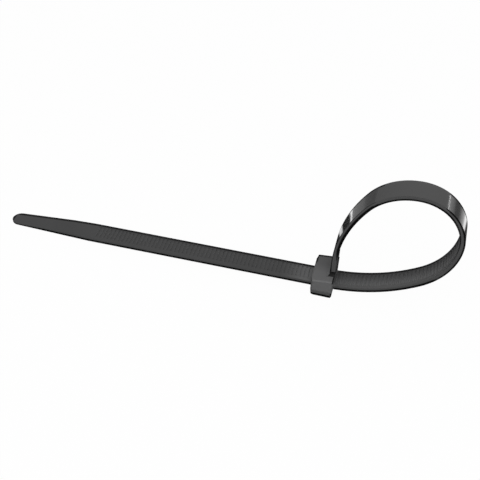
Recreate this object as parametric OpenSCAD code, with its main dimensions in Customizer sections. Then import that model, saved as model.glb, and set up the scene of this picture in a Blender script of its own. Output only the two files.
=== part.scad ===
// Cable tie closed into a teardrop loop, moulded in one piece.
// The strap rises from the head, curves over and round, and passes back
// through the slot, where a sprung pawl bites into the teeth on its inner face.
// X runs along the slot from tail to loop, Y across the strap, Z up.
// The origin is the centre of the head's flat base, which stands on the bench.

/* [Strap] */
// Width of the strap
strap_w = 4.8; // [4.4:0.1:5.6]
// Thickness of the strap over its smooth rails
strap_t = 1.1; // [1:0.05:1.3]
// Overall length from the head's base to the tip, along the strap
tie_len = 163.2; // [150:0.1:220]
// Length over which the tail narrows
taper_len = 20; // [16:1:26]
// Width of the tail where its rounded nose starts
tip_w = 3.4; // [2.6:0.1:4]
// Length of the rounded nose
nose_len = 1.9; // [1.4:0.1:3]
// Length over which the tail thins
thin_len = 15; // [8:1:16]
// Thickness of the strap at the tip
tip_t = 0.5; // [0.4:0.05:0.8]

/* [Loop] */
// Distance from the root of the strap to the far side of the loop
loop_reach = 24.1; // [20:0.1:30]
// Height of the loop's highest point over the slot
loop_height = 28.7; // [25:0.1:34]
// Distance from the root to the highest point
crest_x = 14.35; // [11:0.05:17]
// Height of the far side's upright stretch over the slot
side_z = 18.4; // [14:0.1:22]
// Height over the slot at which the strap starts to bend
root_rise = 7.5; // [5.5:0.1:9]

/* [Teeth] */
// Distance from one tooth to the next
tooth_pitch = 0.9; // [0.8:0.05:1.2]
// Depth of the teeth below the rails
tooth_depth = 0.2; // [0.15:0.05:0.4]
// Share of the pitch taken by a tooth's steep locking face
tooth_steep = 0.15; // [0.05:0.05:0.3]
// Width of the smooth rail on each side of the teeth
rail_w = 0.8; // [0.6:0.05:1]
// Plain length of strap between the head and the first tooth
plain_len = 7; // [5:0.5:12]

/* [Head] */
// Length of the head along the slot
head_len = 4.4; // [4.2:0.1:6]
// Wall on each side of the slot
side_wall = 1.5; // [1:0.1:2]
// Wall under the slot, which the strap is pressed against
base_wall = 1.35; // [1:0.05:1.8]
// Wall over the pawl at the exit end
roof_wall = 0.8; // [0.5:0.05:1.2]
// How much the roof climbs from the exit to the strap's root
roof_rise = 0.55; // [0.2:0.05:0.8]
// How far the middle of the exit face stands out
exit_crown = 0.4; // [0.1:0.05:0.6]
// Width of the flat middle of the exit face
exit_flat = 5.6; // [4.8:0.1:6.2]
// Inward draft of each side face at the base
side_draft = 0.4; // [0.1:0.05:0.5]
// Radius of the lower exit edge
base_round = 1; // [0.5:0.1:1.2]
// Chamfer of the head's other outer edges
head_edge = 0.25; // [0.1:0.05:0.35]

/* [Slot] */
// Clearance over and under the strap in the slot
slot_gap = 0.15; // [0.1:0.01:0.25]
// Clearance on each side of the strap in the slot
slot_side = 0.2; // [0.1:0.05:0.3]
// Lead-in chamfer at the mouth of the slot
mouth_lead = 0.3; // [0.2:0.05:0.5]

/* [Pawl] */
// Thickness of the pawl at its free end, over the strap
pawl_t = 0.95; // [0.8:0.05:1.2]
// Thickness of the pawl at its hinge
hinge_t = 0.6; // [0.45:0.05:0.7]
// Free height over the pawl, into which it springs
pawl_lift = 0.45; // [0.35:0.05:0.7]
// Gap between the pawl and the walls beside it
pawl_side = 0.25; // [0.15:0.05:0.35]
// Gap between the pawl's teeth and the strap's teeth
mesh_gap = 0.06; // [0.04:0.01:0.1]
// Distance from the exit face back to the tip of the pawl
pawl_setback = 0.7; // [0.4:0.05:0.9]
// Number of teeth on the pawl
pawl_teeth = 3; // [2:1:3]
// Thickness of the wall that carries the hinge, over the mouth
hinge_wall = 1; // [0.8:0.05:1.2]

/* [Neck] */
// Height of the scallop in each edge of the strap at its root
neck_h = 1.5; // [1:0.1:2]
// Depth of that scallop
neck_cut = 0.5; // [0.3:0.05:0.6]
// Fillet between the smooth face of the strap and the roof
root_fillet = 0.7; // [0.4:0.05:1]

/* [Hidden] */
$fn = 144;

tie_colour = [0.09, 0.09, 0.095];
// Overlap that buries one solid in another where they are one moulding
bury = 0.5;
// Cuts run this far past the faces that they open
past = 1;
// Height of a tooth's peak over the rail in the cutter, so each tooth keeps a flat crest
crest = 0.03;
// Radius of the slight bend where the tail leaves the slot
tail_bend_r = 25;
deg = 180 / PI;

// Heights in the head, from the base up
slot_z = base_wall + slot_gap + strap_t / 2;
slot_top = base_wall + 2 * slot_gap + strap_t;
strap_top = slot_z + strap_t / 2;
pawl_top = strap_top + pawl_t;
ceiling = pawl_top + pawl_lift;
roof_exit = ceiling + roof_wall;
roof_entry = roof_exit + roof_rise;

// Widths in the head
slot_w = strap_w + 2 * slot_side;
head_w = slot_w + 2 * side_wall;
band_w = strap_w - 2 * rail_w;
pawl_w = band_w - 2 * mesh_gap;
chamber_w = pawl_w + 2 * pawl_side;

// Places along the head
entry_x = head_len / 2;
corner_x = -head_len / 2;
exit_x = corner_x - exit_crown;
root_x = entry_x - strap_t / 2;
pawl_tip_x = exit_x + pawl_setback;
hinge_x = entry_x - hinge_wall;

// A pair of tangent arcs that leads from one heading to another over the step d,
// turning right all the way. Both meet where the heading is along the chord.
function arc_pair(d, from, to) =
    let (
        chord = norm(d),
        aim = atan2(d[1], d[0]),
        turn_1 = from - aim,
        turn_2 = aim - to,
        ratio = (1 - cos(turn_1)) / (1 - cos(turn_2)),
        r_1 = chord / (sin(turn_1) + ratio * sin(turn_2))
    )
    [[r_1, turn_1], [r_1 * ratio, turn_2]];

// The strap's centre line, as runs of [radius, turn] or [0, length].
// A positive turn is to the right, and a negative one to the left.
root_point = [root_x, roof_entry - bury];
bend_point = [root_x, slot_z + root_rise];
crest_point = [root_x + crest_x, slot_z + loop_height];
side_point = [root_x + loop_reach, slot_z + side_z];
slot_point = [0, slot_z];
tail_drop = slot_z - strap_t / 2;
loop_runs = concat(
    [[0, bend_point[1] - root_point[1]]],
    arc_pair(crest_point - bend_point, 90, 0),
    arc_pair(side_point - crest_point, 0, -90),
    arc_pair(slot_point - side_point, -90, -180),
    [[0, -exit_x]]
);

function run_length(run) = run[0] == 0 ? run[1] : run[0] * abs(run[1]) / deg;
function total(list, i = 0) = i == len(list) ? 0 : list[i] + total(list, i + 1);

loop_len = total([for (run = loop_runs) run_length(run)]);
tail_len = tie_len - roof_entry + bury - loop_len;
tail_tilt = asin(tail_drop / tail_len);
strap_runs = concat(
    loop_runs,
    [[tail_bend_r, -tail_tilt], [0, tail_len - tail_bend_r * tail_tilt / deg]]
);

// Where a run ends, as [point, heading, length so far]
function after(at, run) =
    let (
        p = at[0],
        h = at[1],
        left = run[1] < 0 && run[0] > 0,
        side = left ? [-sin(h), cos(h)] : [sin(h), -cos(h)],
        h2 = h - run[1],
        back = left ? [-sin(h2), cos(h2)] : [sin(h2), -cos(h2)]
    )
    run[0] == 0
        ? [p + run[1] * [cos(h), sin(h)], h, at[2] + run[1]]
        : [p + run[0] * (side - back), h2, at[2] + run_length(run)];
last_run = len(strap_runs) - 1;
starts = [
    for (i = 0, at = [root_point, 90, 0]; i <= last_run + 1; at = after(at, strap_runs[min(i, last_run)]), i = i + 1) at
];

// A point beside the centre line: s along the strap, inward towards the toothed face
function beside(s, inward) =
    let (
        i = max([for (k = [0:last_run]) s >= starts[k][2] ? k : 0]),
        run = strap_runs[i],
        along = s - starts[i][2],
        part = run[0] == 0 ? [0, along] : [run[0], sign(run[1]) * along / run[0] * deg],
        here = after(starts[i], part)
    )
    here[0] + inward * [sin(here[1]), -cos(here[1])];

// The strap's faces turn by at most this angle from one flat to the next
bend_step = 2.5;

// The outline of the rounded nose takes a point at each step of this angle
nose_step = 7.5;

// Places along the strap, counted from its root, where its outline has a point
stations = [
    for (i = [0:last_run])
        let (n = strap_runs[i][0] == 0 ? 1 : ceil(abs(strap_runs[i][1]) / bend_step))
            for (k = [0:n - 1]) starts[i][2] + k / n * run_length(strap_runs[i]),
    starts[last_run + 1][2]
];
tip_s = starts[last_run + 1][2];
tip_x = starts[last_run + 1][0][0];

// Tooth roots are counted from the one under the tip of the pawl
mesh_s = starts[len(loop_runs)][2] - pawl_setback - tooth_pitch * tooth_steep;
first_s = roof_entry - root_point[1] + plain_len;
last_s = tip_s - max(taper_len, thin_len);
first_tooth = ceil((first_s - mesh_s) / tooth_pitch);
last_tooth = floor((last_s - mesh_s) / tooth_pitch) - 1;

// One tooth from its root over its crest: steep towards the head, then a long ramp down
function tooth(i, root, top) = [
    beside(mesh_s + i * tooth_pitch, root),
    beside(mesh_s + (i + tooth_steep) * tooth_pitch, top),
    beside(mesh_s + (i + 2 * tooth_steep) * tooth_pitch, top)
];

// Draws in the plane of the loop and gives the drawing a width across the strap
module across(width) {
    rotate([90, 0, 0])
        linear_extrude(width, center = true)
            children();
}

// Side view of the whole strap, out along its smooth face and back along its inner face,
// which slopes down to the thin tip first
module strap_side() {
    outer = [for (s = stations) beside(s, -strap_t / 2)];
    slope = [beside(tip_s, tip_t - strap_t / 2), beside(tip_s - thin_len, strap_t / 2)];
    inner = [for (k = [len(stations) - 2:-1:0]) beside(stations[k], strap_t / 2)];
    polygon(concat(outer, slope, inner));
}

// Plan of the strap: full width up to the taper, and then in to the rounded nose
module strap_plan() {
    far_x = side_point[0] + strap_t;
    taper_x = tip_x + taper_len;
    nose = [
        for (a = [90:nose_step:270]) [tip_x + nose_len * (1 + cos(a)), tip_w / 2 * sin(a)]
    ];
    polygon(concat(
        nose,
        [[taper_x, -strap_w / 2], [far_x, -strap_w / 2], [far_x, strap_w / 2], [taper_x, strap_w / 2]]
    ));
}

// Everything cut away between the teeth, as one zigzag ribbon along the strap
module tooth_cutter() {
    root = strap_t / 2 - tooth_depth;
    top = strap_t / 2 + crest;
    clear = strap_t / 2 + bury;
    count = last_tooth - first_tooth;
    zigzag = [for (i = [first_tooth:last_tooth]) each tooth(i, root, top)];
    outside = [
        for (k = [0:2 * count]) beside(mesh_s + (last_tooth + 2 * tooth_steep - k / 2) * tooth_pitch, clear)
    ];
    across(band_w)
        polygon(concat(zigzag, outside));
}

// Fillet under the smooth face of the strap
module root_gusset() {
    face_x = entry_x - strap_t;
    foot_z = roof_exit + (face_x - exit_x) * roof_rise / (entry_x - exit_x);
    across(strap_w)
        translate([face_x, foot_z])
            difference() {
                translate([-root_fillet, -bury])
                    square([root_fillet + bury, root_fillet + bury]);
                translate([-root_fillet, root_fillet])
                    circle(root_fillet);
            }
}

// Scallops that neck the strap where it leaves the head
module neck_scallops() {
    r = (neck_h * neck_h / 4 + neck_cut * neck_cut) / (2 * neck_cut);
    for (side = [-1, 1])
        translate([root_x, side * (strap_w / 2 - neck_cut + r), roof_entry + neck_h / 2])
            rotate([0, 90, 0])
                cylinder(r = r, h = strap_t + 2 * past, center = true);
}

module strap() {
    difference() {
        union() {
            intersection() {
                across(strap_w + past)
                    strap_side();
                linear_extrude(crest_point[1] + strap_t)
                    strap_plan();
            }
            root_gusset();
        }
        tooth_cutter();
        neck_scallops();
    }
}

// Side view of the head: roof, rounded lower exit edge and chamfered mouth edge
module head_side() {
    e = head_edge;
    slope = (roof_entry - roof_exit) / (entry_x - exit_x);
    difference() {
        polygon([
            [exit_x, 0], [entry_x - e, 0], [entry_x, e + side_draft],
            [entry_x, roof_entry], [exit_x + e, roof_exit + e * slope], [exit_x, roof_exit - e]
        ]);
        translate([exit_x - past, -past])
            square(past + base_round);
    }
    translate([exit_x + base_round, base_round])
        circle(base_round);
}

// Plan of the head, with its crowned exit face
module head_plan() {
    e = head_edge;
    w = head_w / 2;
    polygon([
        [entry_x, e - w], [entry_x, w - e], [entry_x - e, w],
        [corner_x, w], [exit_x, exit_flat / 2], [exit_x, -exit_flat / 2],
        [corner_x, -w], [entry_x - e, -w]
    ]);
}

// End view of the head, with sides drafted in towards the base
module head_end() {
    w = head_w / 2;
    top = roof_entry + past;
    polygon([
        [side_draft - w, 0], [w - side_draft, 0], [w, slot_z],
        [w, top], [-w, top], [-w, slot_z]
    ]);
}

// Chamfers along the two side edges of the sloping roof
module roof_edges() {
    e = head_edge * sqrt(2);
    climb = atan2(roof_rise, entry_x - exit_x);
    for (side = [-1, 1])
        translate([exit_x, side * head_w / 2, roof_exit])
            rotate([45, -climb, 0])
                cube([4 * head_len, e, e], center = true);
}

module head_block() {
    long = head_len + 2 * (exit_crown + past);
    difference() {
        intersection() {
            across(head_w + past)
                head_side();
            linear_extrude(roof_entry + past)
                head_plan();
            rotate([90, 0, 90])
                linear_extrude(long, center = true)
                    head_end();
        }
        roof_edges();
    }
}

// The slot, right through the head, with a lead-in at the mouth
module slot_cut() {
    lead = mouth_lead;
    across(slot_w)
        polygon([
            [exit_x - past, base_wall], [entry_x - lead, base_wall],
            [entry_x + past, base_wall - lead - past], [entry_x + past, slot_top + lead + past],
            [entry_x - lead, slot_top], [exit_x - past, slot_top]
        ]);
}

// The chamber over the slot that the pawl springs up into, open at the exit
module chamber_cut() {
    across(chamber_w)
        polygon([
            [exit_x - past, slot_z], [hinge_x, slot_z], [hinge_x, ceiling - pawl_lift / 2],
            [hinge_x - pawl_lift / 2, ceiling], [exit_x - past, ceiling]
        ]);
}

// The pawl: a tongue from the wall over the mouth, with teeth that fit the strap's
module pawl() {
    root = strap_t / 2 - tooth_depth + mesh_gap;
    top = strap_t / 2 + mesh_gap;
    hinge_z = slot_top + slot_gap;
    tongue = [
        [pawl_tip_x, pawl_top - pawl_t / 3],
        [pawl_tip_x + pawl_t / 3, pawl_top],
        [hinge_x, hinge_z + hinge_t],
        [hinge_x + bury, hinge_z + hinge_t],
        [hinge_x + bury, hinge_z],
        [hinge_x, hinge_z]
    ];
    bite = concat(
        [for (i = [1 - pawl_teeth:-1]) each tooth(i, root, top)],
        [beside(mesh_s, root), beside(mesh_s + tooth_steep * tooth_pitch, top)]
    );
    across(pawl_w)
        polygon(concat(tongue, bite));
}

module head() {
    difference() {
        head_block();
        slot_cut();
        chamber_cut();
    }
    pawl();
}

module cable_tie() {
    color(tie_colour) {
        strap();
        head();
    }
}

cable_tie();
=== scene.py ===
import math

import bpy
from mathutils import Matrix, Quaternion, Vector, kdtree


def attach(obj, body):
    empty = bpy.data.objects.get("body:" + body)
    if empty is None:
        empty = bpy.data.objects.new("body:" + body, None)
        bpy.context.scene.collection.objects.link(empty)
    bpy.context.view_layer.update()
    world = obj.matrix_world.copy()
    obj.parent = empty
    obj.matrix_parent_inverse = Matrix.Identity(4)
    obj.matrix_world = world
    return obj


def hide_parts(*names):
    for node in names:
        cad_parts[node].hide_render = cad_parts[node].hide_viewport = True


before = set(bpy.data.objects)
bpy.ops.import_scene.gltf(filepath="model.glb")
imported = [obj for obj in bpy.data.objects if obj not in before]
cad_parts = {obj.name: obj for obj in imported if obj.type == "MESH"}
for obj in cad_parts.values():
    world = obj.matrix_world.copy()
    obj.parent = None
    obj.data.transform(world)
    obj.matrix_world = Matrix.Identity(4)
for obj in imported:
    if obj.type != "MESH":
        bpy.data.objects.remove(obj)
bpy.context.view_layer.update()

mm = 0.001

# The camera: looks down on the tie from the front right, with the tail running away to the left.
# The distance and the lens give the mild perspective of a close product shot.
view_azimuth = math.radians(14.48)
view_elevation = math.radians(44.4)
view_roll = math.radians(1.35)
view_distance = 173.4 * mm
aim = Vector((-19.3, 0, 8.2)) * mm
backward = Vector((
    math.sin(view_azimuth) * math.cos(view_elevation),
    -math.cos(view_azimuth) * math.cos(view_elevation),
    math.sin(view_elevation),
))
bpy.ops.object.camera_add(location=aim + view_distance * backward)
camera = bpy.context.object
camera.name = "camera"
camera.rotation_mode = "QUATERNION"
camera.rotation_quaternion = backward.to_track_quat("Z", "Y") @ Quaternion((0, 0, 1), view_roll)
camera.data.sensor_width = 36
camera.data.lens = 60
camera.data.clip_start = 10 * mm
bpy.context.scene.camera = camera

# The tie: one moulding of black nylon 66, with its head, strap, teeth and pawl in one piece.
# It comes from a steel mould that is polished where the outer face of the strap forms, spark-textured on the
# toothed side and the head, and left duller on the sides and along the far edge of the outer face. The dark
# strips along its edges are painted shade.
bpy.ops.object.select_all(action="DESELECT")
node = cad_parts["cable_tie"]
node.select_set(True)
bpy.context.view_layer.objects.active = node
bpy.ops.object.duplicate()
tie = bpy.context.object
tie.name = "moulded_tie"
bpy.ops.object.mode_set(mode="EDIT")
bpy.ops.mesh.select_all(action="SELECT")
bpy.ops.mesh.remove_doubles(threshold=0.0005 * mm)
bpy.ops.mesh.select_all(action="DESELECT")
bpy.ops.object.mode_set(mode="OBJECT")

half_width = 2.4 * mm
roof_height = 5.13 * mm
roof_slope = 0.114
root_fillet_top = 6.4 * mm
head_exit = -2.65 * mm
head_entry = 2.25 * mm
loop_middle = Vector((15, 0, 17)) * mm


def on_strap(point):
    above_roof = point.z > roof_height + roof_slope * point.x
    return above_roof or point.x < head_exit or point.x > head_entry


def on_outer_face(face):
    if abs(face.normal.y) > 0.1 or not on_strap(face.center):
        return False
    if head_exit < face.center.x < head_entry and face.center.z < root_fillet_top:
        return False
    if face.center.x < head_exit:
        return face.normal.z < 0
    return face.normal.dot(face.center - loop_middle) > 0


def on_side_face(face):
    return abs(face.normal.y) > 0.9 and on_strap(face.center)


def on_toothed_side(face):
    outside_head = face.center.x < head_exit or face.center.x > head_entry or face.center.z > root_fillet_top
    return outside_head and not on_outer_face(face) and not on_side_face(face)


# A dull strip along the far edge of the outer face, painted near black as painted shade. It shows on both
# flanks of the loop, and the crest between them is polished up to its edge.
shaded_edge_line = 1.9 * mm
crest_start = 9 * mm
crest_end = 21.3 * mm
for face in tie.data.polygons:
    face.select = on_outer_face(face) and face.center.x > head_exit
bpy.ops.object.mode_set(mode="EDIT")
bpy.ops.mesh.bisect(plane_co=(0, shaded_edge_line, 0), plane_no=(0, 1, 0))
bpy.ops.mesh.select_all(action="DESELECT")
bpy.ops.object.mode_set(mode="OBJECT")

# The strap's outer face is one smooth curve, and every other face is flat as moulded
smooth_angle = math.radians(14)
bpy.ops.object.shade_smooth_by_angle(angle=smooth_angle)
outer_points = set()
climbs = {}
for face in tie.data.polygons:
    if on_outer_face(face):
        outer_points.update(face.vertices)
    else:
        face.use_smooth = False
    if on_strap(face.center) and not on_side_face(face):
        for index in face.vertices:
            climbs.setdefault(index, []).append(face.normal.z)

# Each side face carries painted shade along the edge that looks down: the toothed edge over the top of the
# loop, and the smooth edge where the strap lies. A point holds how far it is towards each of them, which
# goes from the one edge to the other as the outer face turns from looking up to looking down.
# The numbers below set how much painted shade the rising leg, the lying strap and the far side get, and how
# much painted light lifts it near the root.
leg_end = 8 * mm
far_side_start = 21 * mm
fade_top = 13 * mm
fade_length = 4 * mm
leg_dark = 0.2
root_light = 0.6
lying_dark = 0.17
far_side_light = 0.05
toothed_edge_shade = tie.data.attributes.new("toothed_edge_shade", "FLOAT", "POINT")
smooth_edge_shade = tie.data.attributes.new("smooth_edge_shade", "FLOAT", "POINT")
for index, parts in climbs.items():
    point = tie.data.vertices[index].co
    is_outer = index in outer_points
    climb = sum(parts) / len(parts) * (1 if is_outer else -1)
    on_leg = head_exit < point.x < leg_end and point.z > roof_height
    on_far_side = point.x > far_side_start
    turned = min(max(0.5 - 0.75 * climb - 0.3 * on_leg, 0), 1)
    near_root = on_leg * min(max((fade_top - point.z) / fade_length, 0), 1)
    toothed_share = (0 if is_outer else 1) - 0.5 * turned
    smooth_share = (1 if is_outer else 0) - (far_side_light if on_far_side else 0.5 * (1 - turned))
    toothed_edge_shade.data[index].value = toothed_share + leg_dark * on_leg - root_light * near_root
    smooth_edge_shade.data[index].value = smooth_share + leg_dark * on_leg + lying_dark * (turned == 1)


def near(material, source, start, stop, top=1):
    """A share that climbs from 0 to the top as the source goes from start to stop."""
    share = material.node_tree.nodes.new("ShaderNodeMapRange")
    share.interpolation_type = "SMOOTHSTEP"
    share.inputs["From Min"].default_value = start
    share.inputs["From Max"].default_value = stop
    share.inputs["To Max"].default_value = top
    material.node_tree.links.new(source, share.inputs["Value"])
    return share.outputs["Result"]


def combine(material, operation, first, second):
    node = material.node_tree.nodes.new("ShaderNodeMath")
    node.operation = operation
    material.node_tree.links.new(first, node.inputs[0])
    material.node_tree.links.new(second, node.inputs[1])
    return node.outputs[0]


def place_parts(material):
    place = material.node_tree.nodes.new("ShaderNodeTexCoord")
    parts = material.node_tree.nodes.new("ShaderNodeSeparateXYZ")
    material.node_tree.links.new(place.outputs["Object"], parts.inputs[0])
    return parts.outputs


# The nylon has three finishes from the mould: polished, sparked and dull.
# Its tone varies slowly along the tie, as the melt flowed, and its edges can carry painted shade.
nylon_ior = 1.53
spark_scale = 6000
spark_depth = 0.02 * mm
flow_scale = 90
polished = {"roughness": 0.1, "grain": 0.002, "gloss": 0.5}
sparked = {"roughness": 0.5, "grain": 0.3, "gloss": 0.15}
dull = {"roughness": 0.6, "grain": 0.3, "gloss": 0.1}
across_strap = ("Y", -2 * mm, 2 * mm)
towards_head = ("X", -10 * mm, -4 * mm)


def moulded_nylon(name, tones, edge_shade_tone, finish, run=across_strap):
    """Black nylon with a fine spark texture, whose tone goes from the first to the second along the run, an
    axis with two places on it. Returns the material and the socket of its share of painted edge shade."""
    material = bpy.data.materials.new(name)
    material.use_nodes = True
    nodes = material.node_tree.nodes
    links = material.node_tree.links
    shader = nodes["Principled BSDF"]
    shader.inputs["Roughness"].default_value = finish["roughness"]
    shader.inputs["IOR"].default_value = nylon_ior
    shader.inputs["Specular IOR Level"].default_value = finish["gloss"]
    place = nodes.new("ShaderNodeTexCoord")
    speckle = nodes.new("ShaderNodeTexNoise")
    speckle.inputs["Scale"].default_value = spark_scale
    speckle.inputs["Detail"].default_value = 3
    bump = nodes.new("ShaderNodeBump")
    bump.inputs["Strength"].default_value = finish["grain"]
    bump.inputs["Distance"].default_value = spark_depth
    links.new(place.outputs["Object"], speckle.inputs["Vector"])
    links.new(speckle.outputs["Fac"], bump.inputs["Height"])
    links.new(bump.outputs["Normal"], shader.inputs["Normal"])
    flow = nodes.new("ShaderNodeTexNoise")
    flow.inputs["Scale"].default_value = flow_scale
    flow.inputs["Detail"].default_value = 1
    flow_range = nodes.new("ShaderNodeMapRange")
    flow_range.inputs["To Min"].default_value = 0.88
    flow_range.inputs["To Max"].default_value = 1.12
    links.new(place.outputs["Object"], flow.inputs["Vector"])
    links.new(flow.outputs["Fac"], flow_range.inputs["Value"])
    from_to = nodes.new("ShaderNodeMix")
    from_to.data_type = "RGBA"
    for socket, tone in zip(("A", "B"), tones):
        from_to.inputs[socket].default_value = (tone, tone, tone * 1.01, 1)
    axis, start, stop = run
    links.new(near(material, place_parts(material)[axis], start, stop), from_to.inputs["Factor"])
    clouded = nodes.new("ShaderNodeHueSaturation")
    links.new(from_to.outputs["Result"], clouded.inputs["Color"])
    links.new(flow_range.outputs["Result"], clouded.inputs["Value"])
    edge = nodes.new("ShaderNodeMix")
    edge.data_type = "RGBA"
    edge.inputs["B"].default_value = (edge_shade_tone, edge_shade_tone, edge_shade_tone, 1)
    links.new(clouded.outputs["Color"], edge.inputs["A"])
    links.new(edge.outputs["Result"], shader.inputs["Base Color"])
    return material, edge.inputs["Factor"]


def plain_nylon(name, tone, finish):
    return moulded_nylon(name, (tone, tone), tone, finish)[0]


# The toothed face has painted shade along its far edge, also on the tapered tail and its nose
taper_start = -54.6 * mm
taper_end = -72.7 * mm
taper_half_width = 1.7 * mm
nose_start = -73.9 * mm
nose_dark = -74.2 * mm
rim_start = 0.75 * mm
rim_dark = 0.5 * mm


def toothed_face(name, tones, run=across_strap):
    material, edge_shade_share = moulded_nylon(name, tones, 0.003, sparked, run)
    parts = place_parts(material)
    outline = material.node_tree.nodes.new("ShaderNodeMapRange")
    outline.inputs["From Min"].default_value = taper_end
    outline.inputs["From Max"].default_value = taper_start
    outline.inputs["To Min"].default_value = taper_half_width
    outline.inputs["To Max"].default_value = half_width
    material.node_tree.links.new(parts["X"], outline.inputs["Value"])
    inside = combine(material, "SUBTRACT", outline.outputs["Result"], parts["Y"])
    rim = near(material, inside, rim_start, rim_dark)
    nose = near(material, parts["X"], nose_start, nose_dark)
    material.node_tree.links.new(combine(material, "MAXIMUM", rim, nose), edge_shade_share)
    return material


# The side faces are duller, and take their painted shade along the edges from the two edge shares
def strap_side(name, tone):
    material, edge_shade_share = moulded_nylon(name, (tone, tone), 0.002, dull)
    shares = []
    for edge in ("toothed_edge_shade", "smooth_edge_shade"):
        towards = material.node_tree.nodes.new("ShaderNodeAttribute")
        towards.attribute_name = edge
        shares.append(near(material, towards.outputs["Fac"], 0.5, 0.75))
    material.node_tree.links.new(combine(material, "MAXIMUM", shares[0], shares[1]), edge_shade_share)
    return material


# The head carries painted shade at its foot, on its lower half, along its far side and corners, on the entry
# side under the loop and along the top of the entry side, and its tone is painted darker towards the back.
# Each shaded place is given by where it starts and where it is full.
def head_shell(name, tones):
    material, edge_shade_share = moulded_nylon(name, tones, 0.003, sparked)
    parts = place_parts(material)
    exit_side = near(material, parts["X"], -2.05 * mm, -2.3 * mm)
    past_strap = near(material, parts["Y"], 1.3 * mm, 1.8 * mm)
    exit_rim = combine(material, "MINIMUM", exit_side, past_strap)
    far_side = near(material, parts["Y"], 3.25 * mm, 3.5 * mm)
    across_corner = combine(material, "SUBTRACT", parts["Y"], parts["X"])
    corner = near(material, across_corner, 5.3 * mm, 5.7 * mm)
    base = near(material, parts["Z"], 1.1 * mm, 0.7 * mm)
    lower_half = near(material, parts["Z"], 2.3 * mm, 1.5 * mm, 0.3)
    entry_side = near(material, parts["X"], 1.8 * mm, 2 * mm)
    low = near(material, parts["Z"], 2 * mm, 1.6 * mm)
    entry_foot = combine(material, "MINIMUM", entry_side, low)
    entry_rim = near(material, parts["X"], 1.9 * mm, 2.05 * mm)
    high = near(material, parts["Z"], 4.6 * mm, 4.8 * mm)
    dark = combine(material, "MINIMUM", entry_rim, high)
    for share in (exit_rim, far_side, corner, base, lower_half, entry_foot):
        dark = combine(material, "MAXIMUM", dark, share)
    material.node_tree.links.new(dark, edge_shade_share)
    return material


# The hollows beside the strap's foot are painted near black, a painted shade in the recess.
def in_foot_scallop(face):
    centre = face.center
    beside_strap = 1.84 * mm < abs(centre.y) < half_width - 0.01 * mm
    return beside_strap and 1 * mm < centre.x < 2.3 * mm and 5.04 * mm < centre.z < 6.7 * mm


# The ramps and steep flanks of the teeth are found by their tilt against the nearest rail beside the teeth.
# They are painted lighter than the flats between them, a painted light that keeps the teeth faint.
tooth_band = 1.55 * mm
ramp_tilt = math.radians(7)
flank_tilt = math.radians(30)
rails = [face for face in tie.data.polygons if on_toothed_side(face) and abs(face.center.y) > tooth_band]
rail_places = kdtree.KDTree(len(rails))
for number, face in enumerate(rails):
    rail_places.insert(face.center, number)
rail_places.balance()


def tilt_of(face):
    if abs(face.center.y) > tooth_band or abs(face.normal.y) > 0.1:
        return 0
    rail = rails[rail_places.find(face.center)[1]]
    return face.normal.angle(rail.normal)


def nylon_of(face):
    if in_foot_scallop(face):
        return "root_hollow_shade_nylon"
    if on_side_face(face):
        return "strap_side_nylon"
    if on_outer_face(face):
        beside_crest = face.center.x < crest_start or face.center.x > crest_end
        return "dull_shaded_edge_nylon" if face.center.y > shaded_edge_line and beside_crest else "polished_nylon"
    if not on_toothed_side(face):
        return "head_nylon"
    tilt = tilt_of(face)
    if face.center.x < head_exit:
        return "tail_flank_painted_light_nylon" if tilt > flank_tilt else "toothed_tail_nylon"
    if tilt > flank_tilt:
        return "loop_flank_painted_light_nylon"
    return "loop_ramp_painted_light_nylon" if tilt > ramp_tilt else "toothed_loop_nylon"


tie.data.materials.clear()
# The head and the loop's toothed faces are painted darker towards the far side of the strap, a painted
# shade; the tail's toothed face runs lighter towards the head.
for material in (
    head_shell("head_nylon", (0.1, 0.072)),
    plain_nylon("polished_nylon", 0.041, polished),
    toothed_face("toothed_tail_nylon", (0.048, 0.092), towards_head),
    strap_side("strap_side_nylon", 0.058),
    plain_nylon("root_hollow_shade_nylon", 0.008, dull),
    toothed_face("toothed_loop_nylon", (0.074, 0.045)),
    plain_nylon("dull_shaded_edge_nylon", 0.004, dull),
    # The flank and ramp copies below carry painted light.
    toothed_face("tail_flank_painted_light_nylon", (0.082, 0.135), towards_head),
    toothed_face("loop_flank_painted_light_nylon", (0.12, 0.05)),
    toothed_face("loop_ramp_painted_light_nylon", (0.116, 0.052)),
):
    tie.data.materials.append(material)
slots = {material.name: number for number, material in enumerate(tie.data.materials)}
for face in tie.data.polygons:
    face.material_index = slots[nylon_of(face)]
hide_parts("cable_tie")
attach(tie, "root")

# The bench: a plain white top that the tie stands on.
# It shows white to the camera and keeps a soft shadow under the tie.
bpy.ops.mesh.primitive_plane_add(size=4, location=(0, 0, 0))
bench = bpy.context.object
bench.name = "bench_top"
white = bpy.data.materials.new("white_bench")
white.use_nodes = True
nodes = white.node_tree.nodes
links = white.node_tree.links
matte = nodes["Principled BSDF"]
matte.inputs["Base Color"].default_value = (0.7, 0.7, 0.7, 1)
matte.inputs["Roughness"].default_value = 0.9
matte.inputs["Specular IOR Level"].default_value = 0
glow = nodes.new("ShaderNodeEmission")
glow.inputs["Strength"].default_value = 1
seen_or_lit = nodes.new("ShaderNodeMixShader")
rays = nodes.new("ShaderNodeLightPath")
seen_white = nodes.new("ShaderNodeMath")
seen_white.operation = "MULTIPLY"
seen_white.inputs[1].default_value = 0.965
links.new(rays.outputs["Is Camera Ray"], seen_white.inputs[0])
links.new(seen_white.outputs[0], seen_or_lit.inputs["Fac"])

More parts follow.
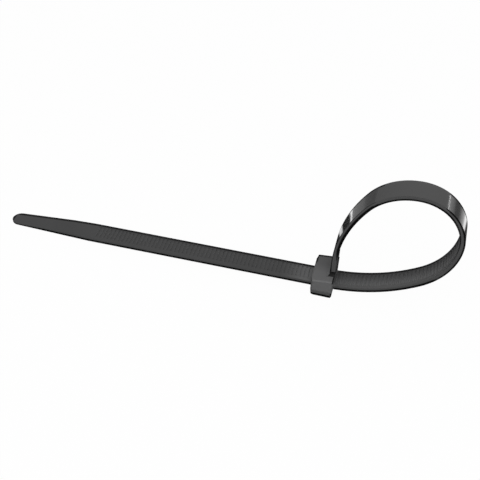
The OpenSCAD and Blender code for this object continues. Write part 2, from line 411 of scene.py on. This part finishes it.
# A painted reflection for the polished strap: the bench shows glossy rays light bands with dark gaps between
# them, each given by how far behind the tie it starts, in mm, and how light it is. One row of bands lies
# behind the head and the rising leg, and the other behind the far side of the loop.
reflection_reach = 140
painted_reflection = nodes.new("ShaderNodeEmission")
painted_reflection.inputs["Strength"].default_value = 3
place = nodes.new("ShaderNodeTexCoord")
parts = nodes.new("ShaderNodeSeparateXYZ")
behind = nodes.new("ShaderNodeMapRange")
behind.inputs["From Max"].default_value = reflection_reach * mm
links.new(place.outputs["Object"], parts.inputs[0])
links.new(parts.outputs["Y"], behind.inputs["Value"])


def reflection_bands(levels):
    bands = nodes.new("ShaderNodeValToRGB")
    while len(bands.color_ramp.elements) < len(levels):
        bands.color_ramp.elements.new(1)
    for stop, (distance, level) in zip(bands.color_ramp.elements, levels):
        stop.position = distance / reflection_reach
        stop.color = (level, level, level, 1)
    links.new(behind.outputs["Result"], bands.inputs["Fac"])
    return bands.outputs["Color"]


left_reflection_bands = reflection_bands((
    (0, 0.002), (17.2, 0.002),
    (17.8, 0.36), (20.6, 0.36),
    (21.2, 0.002), (30.6, 0.002),
    (31.2, 0.8), (33, 0.8),
    (34, 0.155), (60, 0.125),
    (72, 0.064), (140, 0.062),
))
right_reflection_bands = reflection_bands((
    (0, 0.01), (33, 0.02),
    (38, 0.75), (43, 0.8),
    (50, 0.42), (60, 0.32),
    (90, 0.12), (125, 0.03), (140, 0.03),
))
side_by_side = nodes.new("ShaderNodeMix")
side_by_side.data_type = "RGBA"
to_right = nodes.new("ShaderNodeMapRange")
to_right.inputs["From Min"].default_value = 3 * mm
to_right.inputs["From Max"].default_value = 8 * mm
links.new(parts.outputs["X"], to_right.inputs["Value"])
links.new(to_right.outputs["Result"], side_by_side.inputs["Factor"])
links.new(left_reflection_bands, side_by_side.inputs["A"])
links.new(right_reflection_bands, side_by_side.inputs["B"])
links.new(side_by_side.outputs["Result"], painted_reflection.inputs["Color"])
mirrored = nodes.new("ShaderNodeMixShader")
links.new(rays.outputs["Is Glossy Ray"], mirrored.inputs["Fac"])
links.new(matte.outputs[0], mirrored.inputs[1])
links.new(painted_reflection.outputs[0], mirrored.inputs[2])
links.new(mirrored.outputs[0], seen_or_lit.inputs[1])
links.new(glow.outputs[0], seen_or_lit.inputs[2])
links.new(seen_or_lit.outputs[0], nodes["Material Output"].inputs["Surface"])
bench.data.materials.append(white)

# The room: an even fill that is darker near the bench than overhead.
# The camera sees plain white where the bench ends.
studio = bpy.data.worlds.new("studio")
bpy.context.scene.world = studio
studio.use_nodes = True
nodes = studio.node_tree.nodes
links = studio.node_tree.links
fill = nodes["Background"]
fill.inputs["Strength"].default_value = 1
backdrop = nodes.new("ShaderNodeBackground")
backdrop.inputs["Color"].default_value = (1, 1, 1, 1)
seen_or_fill = nodes.new("ShaderNodeMixShader")
rays = nodes.new("ShaderNodeLightPath")
direction = nodes.new("ShaderNodeTexCoord")
parts = nodes.new("ShaderNodeSeparateXYZ")
height = nodes.new("ShaderNodeValToRGB")
for stop, (position, level) in zip(height.color_ramp.elements, ((0, 0.35), (1, 0.85))):
    stop.position = position
    stop.color = (level, level, level, 1)
links.new(direction.outputs["Generated"], parts.inputs[0])
links.new(parts.outputs["Z"], height.inputs["Fac"])
links.new(height.outputs["Color"], fill.inputs["Color"])
links.new(rays.outputs["Is Camera Ray"], seen_or_fill.inputs["Fac"])
links.new(fill.outputs[0], seen_or_fill.inputs[1])
links.new(backdrop.outputs[0], seen_or_fill.inputs[2])
links.new(seen_or_fill.outputs[0], nodes["World Output"].inputs["Surface"])


# The lamps: a large soft box above the camera gives the modelling and the shadow.
# Behind the tie a strip light and three dim ones under it make the bright line and the glow
# that the polished strap shows past its crest.
def soft_box(name, azimuth, elevation, distance, size, power):
    turn = math.radians(azimuth)
    rise = math.radians(elevation)
    towards = Vector((math.sin(turn) * math.cos(rise), -math.cos(turn) * math.cos(rise), math.sin(rise)))
    bpy.ops.object.light_add(type="AREA", location=distance * mm * towards)
    lamp = bpy.context.object
    lamp.name = name
    lamp.data.shape = "RECTANGLE"
    lamp.data.size = size[0] * mm
    lamp.data.size_y = size[1] * mm
    lamp.data.energy = power
    lamp.rotation_mode = "QUATERNION"
    lamp.rotation_quaternion = towards.to_track_quat("Z", "Y")


rear_azimuth = 142
rear_distance = 524
soft_box("key_box", 5, 48, 600, (500, 500), 2.5)
soft_box("strip_box", rear_azimuth, 15, rear_distance, (100, 10), 0.02)
for number, (elevation, power) in enumerate(((12.8, 0.0085), (9.5, 0.0052), (6.2, 0.0024))):
    soft_box("glow_box_%d" % number, rear_azimuth, elevation, rear_distance, (100, 30), power)

bpy.context.scene.view_settings.view_transform = "Standard"
